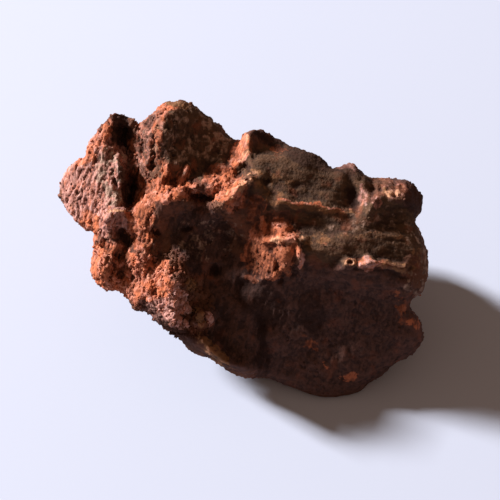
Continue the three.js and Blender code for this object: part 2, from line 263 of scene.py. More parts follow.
# Rises and depths are in mm along w. A width is about how far from its path half of a form is gone.
grooves = [
    {"path": [(-27.4, 20.5), (-27.2, 16), (-27.8, 11)], "width": 1.9, "depth": 1.7},
    {"path": [(-29.5, 31), (-31.3, 27.5), (-31, 25)], "width": 2.2, "depth": 1.6},
    {"path": [(-30.8, 7.2), (-30.4, 4.5)], "width": 1.6, "depth": 0.4},
    {"path": [(34.1, 16.2), (33.8, 13)], "width": 0.55, "depth": 0.8},
    {"path": [(35.8, 15.2), (35.4, 12.4)], "width": 0.5, "depth": 0.8},
    {"path": [(37.2, 16.2), (37.4, 13.2)], "width": 0.6, "depth": 0.9},
    {"path": [(39.1, 15.2), (38.8, 12.9)], "width": 0.5, "depth": 0.6},
    {"path": [(-13.3, 13.6), (-10.5, 13), (-8, 12.4)], "width": 1.1, "depth": 3.4},
    {"path": [(1, 19.8), (3.5, 17.6), (6, 16.6)], "width": 0.8, "depth": 1.4},
    {"path": [(4, -17), (4.4, -21), (5.6, -27), (6, -32)], "width": 1.4, "depth": 1.0},
    {"path": [(26, 20), (26.5, 15), (28, 11)], "width": 1.5, "depth": 1.0},
    {"path": [(-21.2, 28.2), (-21.8, 25.4)], "width": 0.6, "depth": 1.4},
    {"path": [(-24.4, 26.4), (-25.2, 23)], "width": 0.6, "depth": 1.4},
    {"path": [(-21.8, 23.8), (-22.5, 19.8)], "width": 0.7, "depth": 1.5},
    {"path": [(-26.2, 22), (-26.2, 17.5)], "width": 0.6, "depth": 1.2},
    {"path": [(7, -1), (9, -4.5), (9.5, -8)], "width": 0.8, "depth": 0.9},
    {"path": [(12.6, -0.4), (12.6, -3), (12.3, -6)], "width": 0.7, "depth": 1.2},
]

ridges = [
    {"path": [(-18.2, 20.6), (-18.6, 18.4), (-20, 16.5)], "width": 0.6, "rise": 1.9},
    {"path": [(-13.6, 20.6), (-14.2, 18.5), (-15.5, 16)], "width": 0.55, "rise": 1.7},
    {"path": [(5.1, 11.5), (5.3, 6), (4.9, 2)], "width": 0.6, "rise": 0.9},
    {"path": [(-33, 8.8), (-31.5, 9.2), (-28.4, 9.1)], "width": 0.7, "rise": 1.1},
    {"path": [(-31, 23), (-29.7, 18.5), (-29.7, 14.5), (-30.4, 11.5)], "width": 1.2, "rise": 2.0},
    {"path": [(1.8, 16.7), (-1.4, 14.2)], "width": 1.1, "rise": 1.8},
    {"path": [(4.8, 17.6), (1.8, 16.7)], "width": 1.0, "rise": 0.9},
    {"path": [(-0.8, 15), (-3.2, 12.3), (-5.4, 10), (-8.6, 7.8)], "width": 1.8, "rise": 2.2},
    {"path": [(1.8, 29.4), (1.4, 26), (1.2, 23.4), (-1.6, 20.8)], "width": 1.3, "rise": 1.8},
    {"path": [(9, 11.3), (13, 10.8), (19.5, 10.3), (24, 9.3), (27, 8.6)], "width": 0.7, "rise": 0.7},
    {"path": [(6, 1.6), (9, 2.3), (12, 2.4)], "width": 1.1, "rise": 1.9},
    {"path": [(12, 2.4), (15.2, 2.2)], "width": 0.9, "rise": 0.8},
    {"path": [(16, 2.1), (22, 2.2)], "width": 1.0, "rise": 0.5},
    {"path": [(24, 2.8), (30, 3.4), (38, 3.4)], "width": 0.9, "rise": 0.4},
    {"path": [(28.6, -3.8), (31.5, -3.2), (36, -4.2), (39.5, -4.6)], "width": 0.8, "rise": 2.4},
    {"path": [(31, 8.6), (32, 11), (33.6, 12.8)], "width": 0.7, "rise": 1.0},
    {"path": [(30.2, 17), (31, 13), (30, 10)], "width": 0.7, "rise": 0.9},
    {"path": [(-10.5, -22), (-8, -24.6), (-5.6, -26.8), (-3.8, -28.4)], "width": 1.0, "rise": 1.2},
    {"path": [(-3.8, -28.6), (0, -29.4), (4.6, -30.2)], "width": 0.8, "rise": 0.9},
    {"path": [(14, 1.6), (14.2, -2), (14.6, -5.6)], "width": 0.6, "rise": 1.0},
    {"path": [(0.6, -7), (4, -8), (8, -6.8), (10.4, -4.6)], "width": 0.7, "rise": 1.2},
]

# Dents and pits.
hollows = [
    {"at": (-29.6, 11.2), "size": (2, 1.4), "depth": 1.5},
    {"at": (-21.4, 3.8), "size": (1.3, 1.2), "depth": 1.8},
    {"at": (-13.4, 5), "size": (1.4, 0.8), "turn": 30, "depth": 1.6},
    {"at": (-7, -5.6), "size": (1.6, 1.4), "depth": 2.0},
    {"at": (-24, -14), "size": (1.6, 1.5), "depth": 1.8},
    {"at": (-31, -2), "size": (1, 1), "depth": 0.9},
    {"at": (-31.5, 16.5), "size": (0.8, 1.1), "depth": 1.2},
    {"at": (-34, 31.5), "size": (1, 1.3), "depth": 1.1},
    {"at": (26.1, -3.5), "size": (0.75, 0.65), "depth": 2.6},
    {"at": (-19.8, 20.6), "size": (2.2, 2.6), "depth": 1.2},
    {"at": (-22.5, -1.5), "size": (2.5, 2.5), "depth": 1.2},
    {"at": (9, 22.5), "size": (8, 2.6), "depth": 1.0},
    {"at": (7, 26.6), "size": (3.6, 2.2), "turn": -20, "depth": 1.3},
    {"at": (23, -3.4), "size": (2.2, 1.6), "depth": 0.9},
    {"at": (-22.8, 31.2), "size": (1.4, 2.2), "depth": 2.4},
    {"at": (-33.6, 0.4), "size": (1.6, 1.3), "depth": 1.6},
    {"at": (31.6, 15), "size": (1.4, 2.4), "depth": 1.0},
]

# These go in along the surface's own direction, or out where the depth is negative, so that they
# show in the outline.
notches = [
    {"at": (-27.2, 32), "size": (3.2, 1.8), "depth": -1.2},
    {"at": (-38.2, -1.5), "size": (1.8, 6), "depth": 0.6},
    {"at": (-32, -10), "size": (5, 1.8), "turn": -14, "depth": 0.7},
    {"at": (-5, -29.4), "size": (6, 1.8), "turn": -32, "depth": 0.5},
    {"at": (34, 18.2), "size": (2.4, 1.2), "depth": 0.7},
    {"at": (-40.5, 24), "size": (1.6, 1.8), "depth": 1.1},
    {"at": (43.5, -14), "size": (2.6, 2.4), "depth": 1.3},
    {"at": (45, -24.5), "size": (2, 1.4), "depth": 0.8},
    {"at": (-38, 3.4), "size": (2, 1.4), "depth": 0.9},
    {"at": (19.5, 25.5), "size": (2.4, 1.4), "depth": 0.7},
    {"at": (-29, -14), "size": (1.6, 2), "depth": 0.9},
    {"at": (-24, -16.5), "size": (3, 1.8), "turn": -40, "depth": 0.9},
    {"at": (-15, -23), "size": (5, 1.8), "turn": -40, "depth": 1.0},
    {"at": (45, 13), "size": (2, 3.4), "depth": 0.7},
    {"at": (47, 0), "size": (2.4, 6), "depth": 0.6},
]

# Bulges.
swells = [
    {"at": (-16.8, -5.8), "size": (4.2, 4.4), "rise": 2.6},
    {"at": (-18, -10.5), "size": (3.4, 4), "rise": 1.2},
    {"at": (-17, 13.1), "size": (5.4, 2.4), "turn": 8, "rise": 2.3},
    {"at": (-35, 6), "size": (2.2, 3), "rise": 1.4},
    {"at": (-27.4, 27.5), "size": (1.3, 4), "turn": 10, "rise": 2.2},
    {"at": (-9.5, -17), "size": (3.4, 3.4), "rise": 2.8},
    {"at": (-6.8, -24.6), "size": (4.6, 1.8), "turn": -42, "rise": 0.7},
    {"at": (-32.9, 5.6), "size": (1.7, 3.4), "rise": 2.0},
    {"at": (-29.6, 3), "size": (2.8, 3), "rise": 3.8},
    {"at": (37, 12.5), "size": (3.4, 2), "rise": 1.4},
    {"at": (11.5, -0.5), "size": (3.5, 5), "rise": 0.8},
    {"at": (6.8, -1.6), "size": (6.5, 5.6), "rise": 2.6},
    {"at": (-6, 11), "size": (2.4, 2), "turn": 40, "rise": 1.0},
    {"at": (-4.5, 19.2), "size": (3, 3.6), "turn": -20, "rise": 3.0},
    {"at": (-12, 15.2), "size": (2.6, 1.6), "rise": 1.0},
    {"at": (-23.3, -6), "size": (3.6, 6), "turn": -12, "rise": 1.4},
    {"at": (-20, 27.6), "size": (2, 4.4), "turn": -12, "rise": 1.0},
    {"at": (12, 15.2), "size": (9, 4), "rise": 1.0},
    {"at": (-39, 24), "size": (3, 3), "rise": 0.8},
    {"at": (9.6, 4.8), "size": (1.8, 1.9), "rise": 1.3},
    {"at": (1.8, -13), "size": (2.6, 3.6), "rise": 0.7},
]

# Single stones, each with a sharp edge.
pebbles = [
    {"at": (-16.6, -17.6), "size": (2.6, 1.7), "turn": -10, "rise": 1.6},
    {"at": (-10.8, -17.2), "size": (1.2, 2), "rise": 2.2},
    {"at": (-7.8, -16.3), "size": (1.1, 1.8), "turn": 15, "rise": 2.1},
    {"at": (-13.7, -14.2), "size": (1.1, 1.0), "rise": 1.3},
    {"at": (-17.5, -13.5), "size": (1.2, 1.0), "rise": 1.2},
    {"at": (-10.7, -7.8), "size": (1.0, 1.6), "rise": 1.2},
    {"at": (-13, -8.5), "size": (0.9, 1.4), "rise": 1.2},
    {"at": (26.1, -3.6), "size": (1.7, 1.4), "rise": 2.2},
    {"at": (31, -3), "size": (2.2, 1.5), "turn": -20, "rise": 1.2},
]


def insideOf(places, u, v):
    inside = np.zeros(len(u))
    edge = skin["placeEdge"]
    for place in places:
        share = place.get("share", 1)
        inside = np.maximum(inside, share * (1 - smoothStep(1 / edge, edge, spread(place, u, v))))
    return inside


def mergedRock():
    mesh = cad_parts["rock"].data.copy()
    mesh.materials.clear()
    bm = bmesh.new()
    bm.from_mesh(mesh)
    bmesh.ops.remove_doubles(bm, verts=bm.verts, dist=1e-6)
    bmesh.ops.recalc_face_normals(bm, faces=bm.faces)
    bm.to_mesh(mesh)
    bm.free()
    return linked("rock-skin", mesh)


# Keeps the flat that the rock rests on.
def offFloor(points, facing):
    return np.where(facing[:, 2] < 0, smoothStep(*skin["flatKept"], points[:, 2] / mm), 1)


# Each point's place on the show face, the same with the edges of the patches wandering,
# and how much it belongs to that face.
def onShowFace(points, facing, wander):
    face = toFace(points)
    u = face[:, 0] + wander * noiseField(face, skin["wanderSize"], octaves=3, shift=3)
    v = face[:, 1] + wander * noiseField(face, skin["wanderSize"], octaves=3, shift=9)
    return face, u, v, smoothStep(*skin["faceEdge"], facing @ np.array(faceOut))


# How much of its height a relief has, with more of it in the crust and less on the ledges.
def loudness(crust, strata, loss):
    return (skin["quiet"] + (1 - skin["quiet"]) * crust) * (1 - loss * strata)


# rise goes out along the surface's own direction and cut along the show face's, both in mm.
def move(piece, points, facing, rise, cut=0):
    keep = offFloor(points, facing)
    moved = points + facing * (rise * keep * mm)[:, None] + np.outer(cut * keep * mm, np.array(faceOut))
    moved[:, 2] = np.maximum(moved[:, 2], 0)
    piece.data.vertices.foreach_set("co", moved.astype(np.float32).ravel())
    piece.data.update()


# The larger forms, on the rough mesh.
def carve(piece):
    points, facing = surfaceOf(piece.data)
    face, u, v, shown = onShowFace(points, facing, skin["formWander"])
    crust = np.maximum(insideOf(crustPlaces, u, v) * shown, skin["carvedBack"] * (1 - shown))
    strata = insideOf(strataPlaces, u, v) * shown

    lumps, knots, clumps, ledges = (skin[name] for name in ("lumps", "knots", "clumps", "ledges"))
    bare = skin["quietLumps"]
    lump = noiseField(points / mm, lumps["size"], octaves=3)
    rise = lumps["height"] * (bare + (1 - bare) * crust) * (1 - skin["lumpLoss"] * strata) * lump
    rise = skin["swell"] + rise
    crooked = bent(face, amount=1.4, size=4, octaves=1, shifts=(21, 23, 27))
    clump = clumps["height"] * plates(crooked, clumps)
    knot = knots["height"] * bumps(leaned(face, skin["streakLean"]), knots)
    rise += loudness(crust, strata, skin["clumpLoss"]) * (clump + knot)
    wave = ledges["wave"] * noiseField(face, ledges["size"], octaves=2, shift=5)
    layer = face[:, 1] + ledges["tilt"] * face[:, 0] + wave
    saw = (layer / ledges["step"]) % 1
    shelf = smoothStep(0, ledges["shelf"], saw) - smoothStep(ledges["shelf"], 1, saw)
    rise += ledges["height"] * strata * (shelf - ledges["level"])

    for notch in notches:
        rise -= notch["depth"] * mound(notch, u, v)
    cut = np.zeros(len(u))
    for hollow in hollows:
        cut -= hollow["depth"] * mound(hollow, u, v)
    for swell in swells:
        cut += swell["rise"] * mound(swell, u, v)
    for groove in grooves:
        cut -= groove["depth"] * np.exp(-(offPath(groove["path"], u, v) / groove["width"]) ** 2)
    for ridge in ridges:
        foot = skin["ridgeFoot"] * ridge["width"]
        cut += ridge["rise"] * np.clip(1 - offPath(ridge["path"], u, v) / foot, 0, 1)
    for pebble in pebbles:
        cut += pebble["rise"] * np.sqrt(np.clip(1 - spread(pebble, u, v), 0, 1))
    move(piece, points, facing, rise, cut * shown)


# The crust's grains, burrs and pits, on the fine mesh.
def roughen(piece):
    points, facing = surfaceOf(piece.data)
    face, u, v, shown = onShowFace(points, facing, skin["patchWander"])
    least, most = skin["roughBack"]
    backPatches = noiseField(points / mm, skin["backPatchSize"], octaves=2, shift=1)
    backCrust = smoothStep(-0.1, 0.35, backPatches)
    crust = insideOf(crustPlaces, u, v) * shown + (1 - shown) * (least + (most - least) * backCrust)
    strata = insideOf(strataPlaces, u, v) * shown
    loud = loudness(crust, strata, skin["grainLoss"])

    granules, burrs, crumbs = skin["granules"], skin["burrs"], skin["crumbs"]
    lines, pits = skin["lines"], skin["pits"]
    crooked = bent(face, amount=0.6, size=2, octaves=1, shifts=(11, 13, 17))
    ragged = bent(face, amount=1.3, size=1.4, octaves=2, shifts=(31, 33, 37))
    away, _, own = grainField(ragged, pits)
    pit = (own > pits["rare"]) * (1 - smoothStep(*pits["edge"], away))

    rise = granules["height"] * loud * plates(crooked, granules)
    rise += burrs["height"] * loud * bumps(leaned(face, skin["streakLean"]), burrs)
    rise += crumbs["height"] * np.maximum(loud, skin["crumbsEverywhere"]) * plates(crooked, crumbs)
    rise += lines["height"] * strata * noiseField(face, lines["size"], octaves=3, shift=7)
    rise -= pits["height"] * loud * pit
    move(piece, points, facing, rise)


# How far each point lies below its surroundings, in mm. More rounds take in wider surroundings.
def sunken(mesh, rounds):
    edges = np.empty(len(mesh.edges) * 2, np.int32)
    mesh.edges.foreach_get("vertices", edges)
    start, end = edges.reshape(-1, 2).T
    count = len(mesh.vertices)
    degree = (np.bincount(start, minlength=count) + np.bincount(end, minlength=count))[:, None]
    points, facing = surfaceOf(mesh)
    smooth = points.copy()
    for _ in range(rounds):
        total = np.stack([
            np.bincount(start, smooth[end, axis], count) + np.bincount(end, smooth[start, axis], count)
            for axis in range(3)
        ], axis=1)
        smooth = total / degree
    return ((smooth - points) * facing).sum(axis=1) / mm


# How strongly each colour shows on the back, where its patches are scattered.
backShare = {
    "mauve": 0.6, "orange": 0.65, "tan": 0.6, "grey": 0.4, "rusty": 1, "olive": 1, "darkStoneAndShade": 1, "paintedShadeAndDarkSpots": 0.5
}

colourPlaces = {
    "mauve": [
        {"at": (14.3, -2), "size": (0.8, 3.6)},
        {"at": (-38, 17), "size": (8, 13)},
        {"at": (-33, 21), "size": (5, 6)},
        {"at": (-24.2, 27), "size": (3.6, 10), "turn": -8, "share": 0.75},
        {"at": (-34, 8), "size": (6, 5)},
        {"at": (-20, -13), "size": (6, 5)},
        {"at": (-15.7, -17.6), "size": (2, 1.4)},
        {"at": (-8.2, -17), "size": (1.2, 1.8)},
        {"at": (-14, -14.5), "size": (1.2, 1)},
        {"at": (29.8, 13.2), "size": (1.2, 3.2), "share": 0.5},
        {"at": (32.8, 11.6), "size": (1, 1.4), "share": 0.6},
        {"at": (37, 14.4), "size": (3.4, 1.8), "share": 0.5},
        {"at": (30.6, -3.4), "size": (2.6, 1.5), "share": 0.9},
        {"at": (27, 20.5), "size": (3, 1.4)},
    ],
    "orange": [
        {"at": (30, -3.4), "size": (5.4, 1.3), "turn": -4, "share": 0.55},
        {"at": (19.5, 2), "size": (3.4, 1.4), "share": 0.4},
        {"at": (17.5, 10.3), "size": (8.5, 0.8), "turn": -8},
        {"at": (-19, 18.5), "size": (1.3, 2.4)},
        {"at": (-14.4, 18.5), "size": (1.3, 2.6)},
        {"at": (-39, 24), "size": (3, 3)},
        {"at": (-35.2, 27.6), "size": (2, 5), "turn": -24, "share": 0.8},
        {"at": (-38, 5), "size": (3, 4)},
        # a paler band along the dome's top edge, painted as its highlight
        {"at": (-20, 35), "size": (4, 1.4)},
        {"at": (-20.6, 30), "size": (1.5, 6), "turn": -12, "share": 0.9},
        {"at": (5, -7.2), "size": (5, 1), "share": 0.8},
        {"at": (-25, 7), "size": (3.2, 8)},
        {"at": (-19, 14), "size": (8, 3.2)},
        {"at": (-4.2, 15), "size": (4.6, 6), "turn": 40},
        {"at": (-0.8, 23.8), "size": (2.2, 5), "turn": -24},
        {"at": (9.6, 5), "size": (1.8, 1.8)},
        {"at": (-25, -7), "size": (8, 6)},
        {"at": (-33, -4), "size": (6, 6)},
        {"at": (7.5, 1.2), "size": (6.5, 6)},
        {"at": (-23.8, 26), "size": (4.4, 11), "turn": -8, "share": 0.62},
    ],
    "tan": [
        {"at": (19, 2.4), "size": (4.4, 1.6), "turn": 2, "share": 0.65},
        {"at": (30, 3), "size": (9, 1.3), "turn": 2, "share": 0.5},
        {"at": (38, -4.2), "size": (5, 1.1), "turn": -8, "share": 0.7},
        {"at": (17, 9.9), "size": (11, 0.6), "turn": -8},
        {"at": (2.8, 18.6), "size": (2.2, 0.8)},
        {"at": (35.6, 14.2), "size": (1.6, 1.6), "share": 0.6},
        {"at": (8, 15.5), "size": (5, 3.5), "share": 0.4},
        {"at": (42.5, -1.6), "size": (1.6, 3), "share": 0.5},
        {"at": (30, -3.4), "size": (5.4, 1.3), "turn": -4, "share": 0.35},
        {"at": (-7.2, -25), "size": (5.5, 1.8), "turn": -42, "share": 0.9},
        {"at": (-10.8, -17.4), "size": (1, 1.6)},
        {"at": (-11.5, -15.4), "size": (0.9, 0.8)},
        {"at": (-12.8, -8.8), "size": (1.4, 1.2)},
        {"at": (1.4, 26), "size": (1, 3.4), "turn": -16, "share": 0.5},
        # a paler band along the dome's top edge, painted as its highlight
        {"at": (-16, 36), "size": (4, 1.3)},
    ],
    "grey": [
        {"at": (-31.4, 16.5), "size": (2.8, 7), "turn": -4, "share": 0.6},
        {"at": (-34.5, 21), "size": (2, 4), "turn": -10, "share": 0.7},
        {"at": (-24, 26.5), "size": (3.4, 9), "turn": -8, "share": 0.35},
        {"at": (-11.5, 26.5), "size": (8.5, 8), "share": 0.5},
        {"at": (-8, 2), "size": (8, 6), "share": 0.4},
        {"at": (27, 6), "size": (14, 5.5), "share": 0.36},
        {"at": (43.5, -3), "size": (4, 14), "share": 0.4},
    ],
    "cream": [
        {"at": (1, 16.3), "size": (1.1, 4), "turn": -52, "share": 0.65},
        {"at": (0.2, 24.4), "size": (1.2, 4.2), "turn": -20, "share": 0.5},
        {"at": (-21.4, 27.5), "size": (0.9, 5), "turn": -10, "share": 0.45},
        {"at": (-31, 9.3), "size": (3.2, 0.8)},
        {"at": (11, 2.5), "size": (5, 0.9), "share": 0.8},
        {"at": (38, 14.4), "size": (2, 1), "share": 0.55},
        {"at": (35.8, 13.6), "size": (0.8, 1.2), "share": 0.6},
        {"at": (26.1, -3.5), "size": (1.5, 1.1), "share": 0.65},
        {"at": (35, -4), "size": (3.2, 0.7), "turn": -8, "share": 0.35},
        {"at": (-4.6, 11.6), "size": (1.2, 3), "turn": -45, "share": 0.5},
        {"at": (-8.4, -25), "size": (0.8, 4.5), "turn": 48, "share": 0.4},
    ],
    "rusty": [
        {"at": (6.6, -2.4), "size": (6, 5), "share": 0.9},
        {"at": (3.2, 8), "size": (2.2, 5), "share": 0.7},
        {"at": (-23.8, 7), "size": (4, 8), "share": 0.5},
        {"at": (-20.5, 18.8), "size": (4, 4), "share": 0.5},
        {"at": (-31, -3.6), "size": (3.4, 4.4), "share": 0.65},
        {"at": (9.5, -15), "size": (1.2, 2.4), "share": 0.45},
        {"at": (17, -24), "size": (3, 1.6), "turn": -40, "share": 0.4},
        {"at": (40, -15), "size": (3, 5), "share": 0.38},
    ],
    "olive": [
        {"at": (16, 18), "size": (16, 9)},
        {"at": (28, 4), "size": (18, 8)},
        {"at": (-10.8, 26.6), "size": (9.5, 9)},
    ],
    # the stone's own dark plum-brown, also laid as painted shade on the faces that lie in shadow
    "darkStoneAndShade": [
        {"at": (9, 27.2), "size": (8, 3), "turn": -24},
        {"at": (-30.4, 5.4), "size": (2.6, 3.8), "share": 0.8},
        {"at": (22.5, -3.2), "size": (2.4, 1.8)},
        {"at": (20, 20.6), "size": (11, 2), "turn": -20},
        {"at": (-10.5, 2.4), "size": (7.5, 7.5)},
        {"at": (39.6, 16.8), "size": (3.4, 1.2), "turn": -14},
        {"at": (-2, -10), "size": (6, 9)},
        {"at": (-28.5, 16), "size": (2, 6)},
        {"at": (-30.5, 29), "size": (2.4, 5)},
        {"at": (38, 9), "size": (7, 3)},
        {"at": (22, -20), "size": (26, 17.5)},
        {"at": (-2, -24), "size": (8, 7)},
        {"at": (-10.5, 13), "size": (3, 1)},
        {"at": (-5, 22.5), "size": (3, 5), "turn": -30, "share": 0.6},
    ],
    # painted shade where the show face lies in shadow and in its pits; on the back, scattered dark patches
    "paintedShadeAndDarkSpots": [
        {"at": (6, 28.6), "size": (4, 1.6), "turn": -15},
        {"at": (-12.4, -4), "size": (2.2, 2.4), "share": 0.8},
        {"at": (-12.5, 20.3), "size": (6, 1.8), "share": 0.6},
        {"at": (0.6, 12.4), "size": (3, 4), "turn": -30, "share": 0.5},
        {"at": (11, 25), "size": (6, 2.4), "turn": -22, "share": 0.8},
        {"at": (-30.4, -3.8), "size": (2.6, 3.6), "share": 0.5},
        {"at": (-15, -22), "size": (6, 2), "turn": -40},
        {"at": (2.8, -10.8), "size": (4, 5.4)},
        {"at": (17, -17), "size": (3.5, 5), "turn": 20},
        {"at": (43, -9), "size": (2.4, 8), "share": 0.4},
        {"at": (5, -21), "size": (1.2, 11), "turn": -8},
        {"at": (-28.5, 16), "size": (1.8, 5)},
        {"at": (-30, 29), "size": (2.2, 4)},
        {"at": (-10.5, 12.6), "size": (2.6, 0.8)},
        {"at": (42.6, 12), "size": (2.6, 3.6)},
        {"at": (-30.4, 5.4), "size": (2.2, 3.4), "share": 0.4},
        {"at": (-20.5, -17.6), "size": (4, 1.4), "turn": -40},
        {"at": (7, -15), "size": (4, 5)},
        {"at": (27, 11.5), "size": (1.2, 3.4)},
        {"at": (-22.8, 31.2), "size": (1.3, 2.2)},
        {"at": (26.1, -3.5), "size": (0.5, 0.4), "share": 0.6},
        {"at": (-23.6, -15), "size": (2.4, 1.4)},
        {"at": (19, 22), "size": (12, 2.6), "turn": -20},
        {"at": (-23.4, 26), "size": (3.8, 10), "turn": -8, "share": 0.65},
    ],
    "red": [
        {"at": (26.5, -32), "size": (2.2, 1)},
        {"at": (42.5, -18.5), "size": (1.6, 1.2)},
        {"at": (21, -29), "size": (1.2, 0.7)},
        {"at": (9, 24.5), "size": (3, 0.7)},
        {"at": (-16.5, 20), "size": (1.2, 1)},
        {"at": (5.3, 7.4), "size": (0.6, 4), "share": 0.9},
        {"at": (0.5, -1.6), "size": (0.8, 2), "turn": -20, "share": 0.8},
    ],
}


# Writes how much of each colour there is at every point, and how deep the point lies.
def colourIn(piece):
    mesh = piece.data
    points, facing = surfaceOf(mesh)
    _, u, v, shown = onShowFace(points, facing, skin["patchWander"])
    for shift, (name, places) in enumerate(colourPlaces.items(), start=50):
        cloudy = noiseField(points / mm, skin["backColourSize"], octaves=3, shift=shift)
        guessed = (1 - shown) * backShare.get(name, 0) * smoothStep(0.02, 0.35, cloudy)
        setAttribute(mesh, name, insideOf(places, u, v) * shown + guessed)
    for name in ("gap", "dip"):
        below = sunken(mesh, skin[name]["rounds"]) / skin[name]["depth"]
        setAttribute(mesh, name, np.clip(0.5 + below, 0, 1))


class Wire:
    def __init__(self, shader, socket):
        self.shader = shader
        self.socket = socket

    def math(self, operation, first, second):
        return self.shader.node("ShaderNodeMath", {"operation": operation}, {0: first, 1: second})

    def __add__(self, other):
        return self.math("ADD", self, other)

    def __sub__(self, other):
        return self.math("SUBTRACT", self, other)

    def __mul__(self, other):
        return self.math("MULTIPLY", self, other)

    def __radd__(self, other):
        return self.math("ADD", other, self)

    def __rsub__(self, other):
        return self.math("SUBTRACT", other, self)

    def __rmul__(self, other):
        return self.math("MULTIPLY", other, self)


class Shader:
    def __init__(self, name):
        self.material = bpy.data.materials.new(name)
        self.material.use_nodes = True
        self.tree = self.material.node_tree
        self.surface = self.tree.nodes["Principled BSDF"]

    # settings are set first; sockets takes names or numbers of inputs, with values or wires
    def node(self, kind, settings=None, sockets=None, output=0):
        made = self.tree.nodes.new(kind)
        for name, value in (settings or {}).items():
            setattr(made, name, value)
        for name, value in (sockets or {}).items():
            self.feed(made.inputs[name], value)
        return Wire(self, made.outputs[output])

    def feed(self, socket, value):
        if isinstance(value, Wire):
            self.tree.links.new(value.socket, socket)
        else:
            socket.default_value = value

    def give(self, name, value):
        self.feed(self.surface.inputs[name], value)

    # 6, 7 and 2 are the Mix node's colours
    def mix(self, factor, first, second, blend="MIX"):
        settings = {"data_type": "RGBA", "blend_type": blend}
        return self.node("ShaderNodeMix", settings, {0: factor, 6: first, 7: second}, output=2)

    # 0 at low and 1 at high
    def spot(self, wire, low, high):
        settings = {"interpolation_type": "SMOOTHSTEP"}
        sockets = {"Value": wire, "From Min": low, "From Max": high}
        return self.node("ShaderNodeMapRange", settings, sockets)

    def attribute(self, name):
        return self.node("ShaderNodeAttribute", {"attribute_name": name}, output=2)  # as a number


def colour(red, green, blue):
    return (red, green, blue, 1)


stone = {
    # the bare rock and its stains, and hollow, the colour of painted shade
    "darkRust": colour(0.078, 0.034, 0.025),
    "rust": colour(0.165, 0.06, 0.036),
    "brown": colour(0.13, 0.062, 0.038),
    "stain": colour(0.23, 0.066, 0.034),
    "hollow": colour(0.026, 0.0135, 0.0115),
    # the patches on it, darker and paler: half of the mix is painted shade between the grains and painted
    # light on their tops, half follows the grain pattern
    "plum": colour(0.0415, 0.0245, 0.0225),
    "palePlum": colour(0.092, 0.044, 0.035),
    "olive": colour(0.052, 0.032, 0.023),
    "ochre": colour(0.096, 0.05, 0.03),
    "tan": colour(0.2, 0.092, 0.045),
    "mauve": colour(0.23, 0.085, 0.065),
    "paleMauve": colour(0.42, 0.215, 0.18),
    "lilac": colour(0.52, 0.33, 0.31),
    "redOrange": colour(0.28, 0.074, 0.034),
    "orange": colour(0.43, 0.128, 0.062),
    "rusty": colour(0.12, 0.036, 0.021),
    "paleRusty": colour(0.27, 0.086, 0.043),
    "grey": colour(0.13, 0.075, 0.055),
    "paleGrey": colour(0.34, 0.215, 0.165),
    "creamShade": colour(0.26, 0.105, 0.062),
    "cream": colour(0.52, 0.27, 0.16),
    # a size is in mm, alone or across the show face, up it and out of it
    "mottle": {"size": 2.2, "seed": 3, "span": (0.38, 0.62), "strength": 0.75},
    "patches": {"size": 9, "seed": 0, "span": (0.4, 0.6), "strength": 0.5},
    "stains": {"size": 4, "seed": 12, "span": (0.54, 0.7), "strength": 0.4, "lessInDark": 0.16},
    "pinks": {"size": 2.6, "seed": 15, "span": (0.4, 0.64), "strength": 0.6},
    "creams": {"size": (0.7, 2.4, 1.4), "seed": 30, "span": (0.54, 0.7), "strength": 0.6},
    "rusts": {"size": (0.9, 3.4, 1.8), "seed": 21, "span": (0.5, 0.62), "strength": 0.75},
    "dusts": {"size": (0.8, 3, 1.8), "seed": 18, "span": (0.54, 0.66), "strength": 0.7},
    "frosts": {"size": (0.6, 2.2, 1.4), "seed": 33, "span": (0.52, 0.66), "strength": 0.7},
    "upright": {"size": (0.6, 2.6, 1.4), "seed": 24, "span": (0.36, 0.62)},
    "level": {"size": (5, 0.7, 1.4), "seed": 27, "span": (0.36, 0.62)},
    "specks": 0.9,  # mm across
    "redFlecks": 0.7,
    "deepShade": 0.75,
    "gapShade": 0.68,
    "dipShade": 0.5,
    "dullness": 0.78,
    "gloss": 0.03,
    "bump": 0.6,
    "bumpDepth": 0.3,  # mm
}


